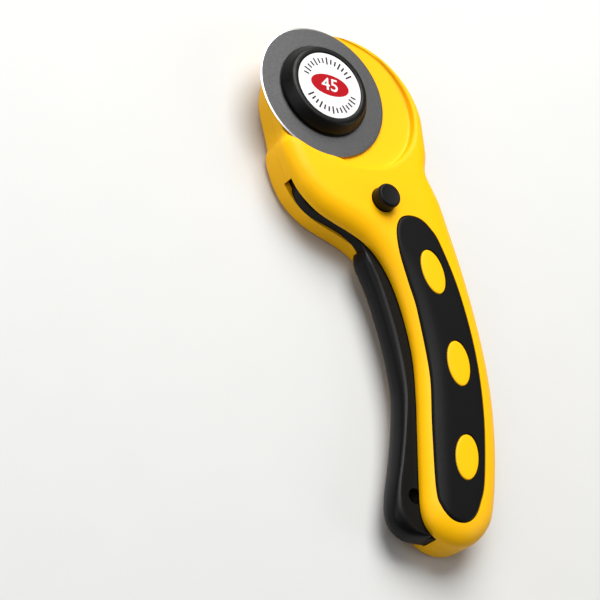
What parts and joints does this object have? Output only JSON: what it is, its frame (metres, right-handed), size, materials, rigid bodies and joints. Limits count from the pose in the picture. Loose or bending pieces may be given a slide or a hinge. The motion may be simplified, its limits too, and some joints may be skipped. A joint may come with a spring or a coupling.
{
  "type": "rotary cutter",
  "caption": "Hand-held rotary cutter: a squeeze lever between two handle shells swings a round blade out of its guard; a knob clamps it and a button locks it.",
  "frame": {"origin": "middle of the footprint on the flat back face, with the cutter lying on its back and the blade out of its guard", "axes": "+Z out of the front face along the blade's axis, +Y from the handle's tail to the head, +X away from the lever's side"},
  "size_m": [0.0596, 0.1702, 0.0201],
  "materials": {
    "shell": "yellow moulded ABS, satin gloss",
    "grip": "black soft-touch thermoplastic rubber, matt",
    "screw": "zinc plated pan heads",
    "pin": "ground steel",
    "brass": "turned brass",
    "spring": "drawn spring wire",
    "button": "black moulded plastic",
    "lever": "black moulded plastic, fine texture",
    "pad": "black soft-touch thermoplastic rubber, satin",
    "bolt": "turned steel",
    "blade": "rolled tool steel with a ground edge",
    "washer": "sprung steel",
    "knob": "black moulded plastic, satin gloss",
    "label": "printed white disc"
  },
  "bodies": {
    "handle": {"front_shell": "shell", "rear_shell": "shell", "front_grip": "grip", "rear_grip": "grip", "shell_screw_1": "screw", "shell_screw_2": "screw", "shell_screw_3": "screw", "shell_screw_4": "screw", "shell_screw_5": "screw", "pivot_pin": "pin", "return_spring": "spring", "detent_clip": "spring"},
    "lever_arm": {"lever": "lever", "lever_pad": "pad", "pivot_bush": "brass", "blade_bolt": "bolt"},
    "blade_disc": {"blade": "blade"},
    "washer": {"wave_washer": "washer"},
    "clamp_knob": {"knob": "knob", "nut_insert": "brass", "knob_label": "label"},
    "lock": {"lock_button": "button", "lock_tail": "button"}
  },
  "joints": [
    {"name": "trigger_squeeze", "type": "hinge", "parent": "handle", "child": "lever_arm", "pos_m": [-0.01395, 0.02687, 0.00775], "axis": [0, 0, 1], "range_deg": [-16.2, 0], "stiffness_Nm_per_rad": 0.08, "springref_deg": -40.11, "deforming": ["return_spring"]},
    {"name": "blade_spin", "type": "hinge", "parent": "lever_arm", "child": "blade_disc", "pos_m": [-0.00735, 0.06262, 0.01335], "axis": [0, 0, 1], "continuous": true},
    {"name": "washer_lift", "type": "slide", "parent": "lever_arm", "child": "washer", "axis": [0, 0, 1], "range_m": [0, 0.002]},
    {"name": "knob_turn", "type": "hinge", "parent": "washer", "child": "clamp_knob", "pos_m": [-0.00735, 0.06262, 0.0155], "axis": [0, 0, 1], "range_deg": [0, 720]},
    {"name": "lock_press", "type": "slide", "parent": "handle", "child": "lock", "axis": [0, 0, 1], "range_m": [-0.003, 0], "deforming": ["detent_clip"]}
  ],
  "couplings": [
    {"joint": "washer_lift", "follows": "knob_turn", "m_per_rad": 0.00015915}
  ]
}
